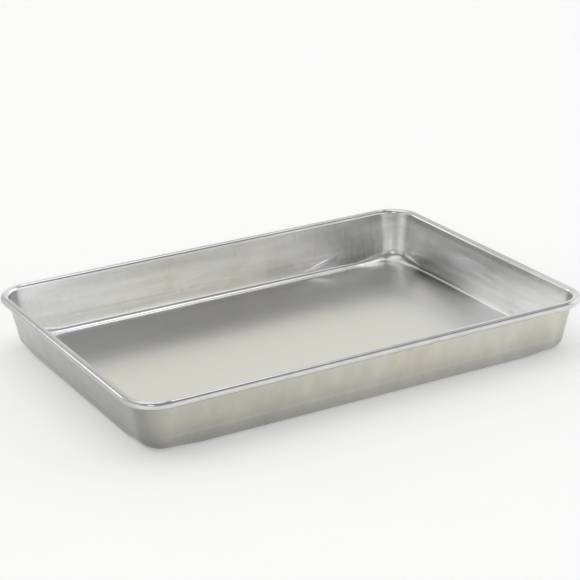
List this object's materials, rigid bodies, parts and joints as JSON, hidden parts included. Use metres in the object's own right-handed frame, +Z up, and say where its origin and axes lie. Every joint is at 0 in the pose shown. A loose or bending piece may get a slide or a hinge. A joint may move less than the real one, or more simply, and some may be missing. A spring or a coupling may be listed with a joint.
{
  "type": "cake pan",
  "caption": "Rectangular high-sided sheet-cake pan drawn from natural aluminium, with drafted walls, rounded corners and a rim rolled round a stiffening wire.",
  "frame": {"origin": "middle of the base, on the surface that the pan stands on", "axes": "+X along the long sides, +Y along the short sides towards the back, +Z up out of the open mouth"},
  "size_m": [0.454, 0.323, 0.0515],
  "materials": {
    "drawn_aluminium": "natural uncoated sheet, satin from drawing, with fine draw streaks and a polished roll on the rim",
    "galvanised_wire": "dull zinc-coated steel wire"
  },
  "bodies": {
    "root": {"pan_shell": "drawn_aluminium", "rim_wire": "galvanised_wire"}
  },
  "joints": []
}
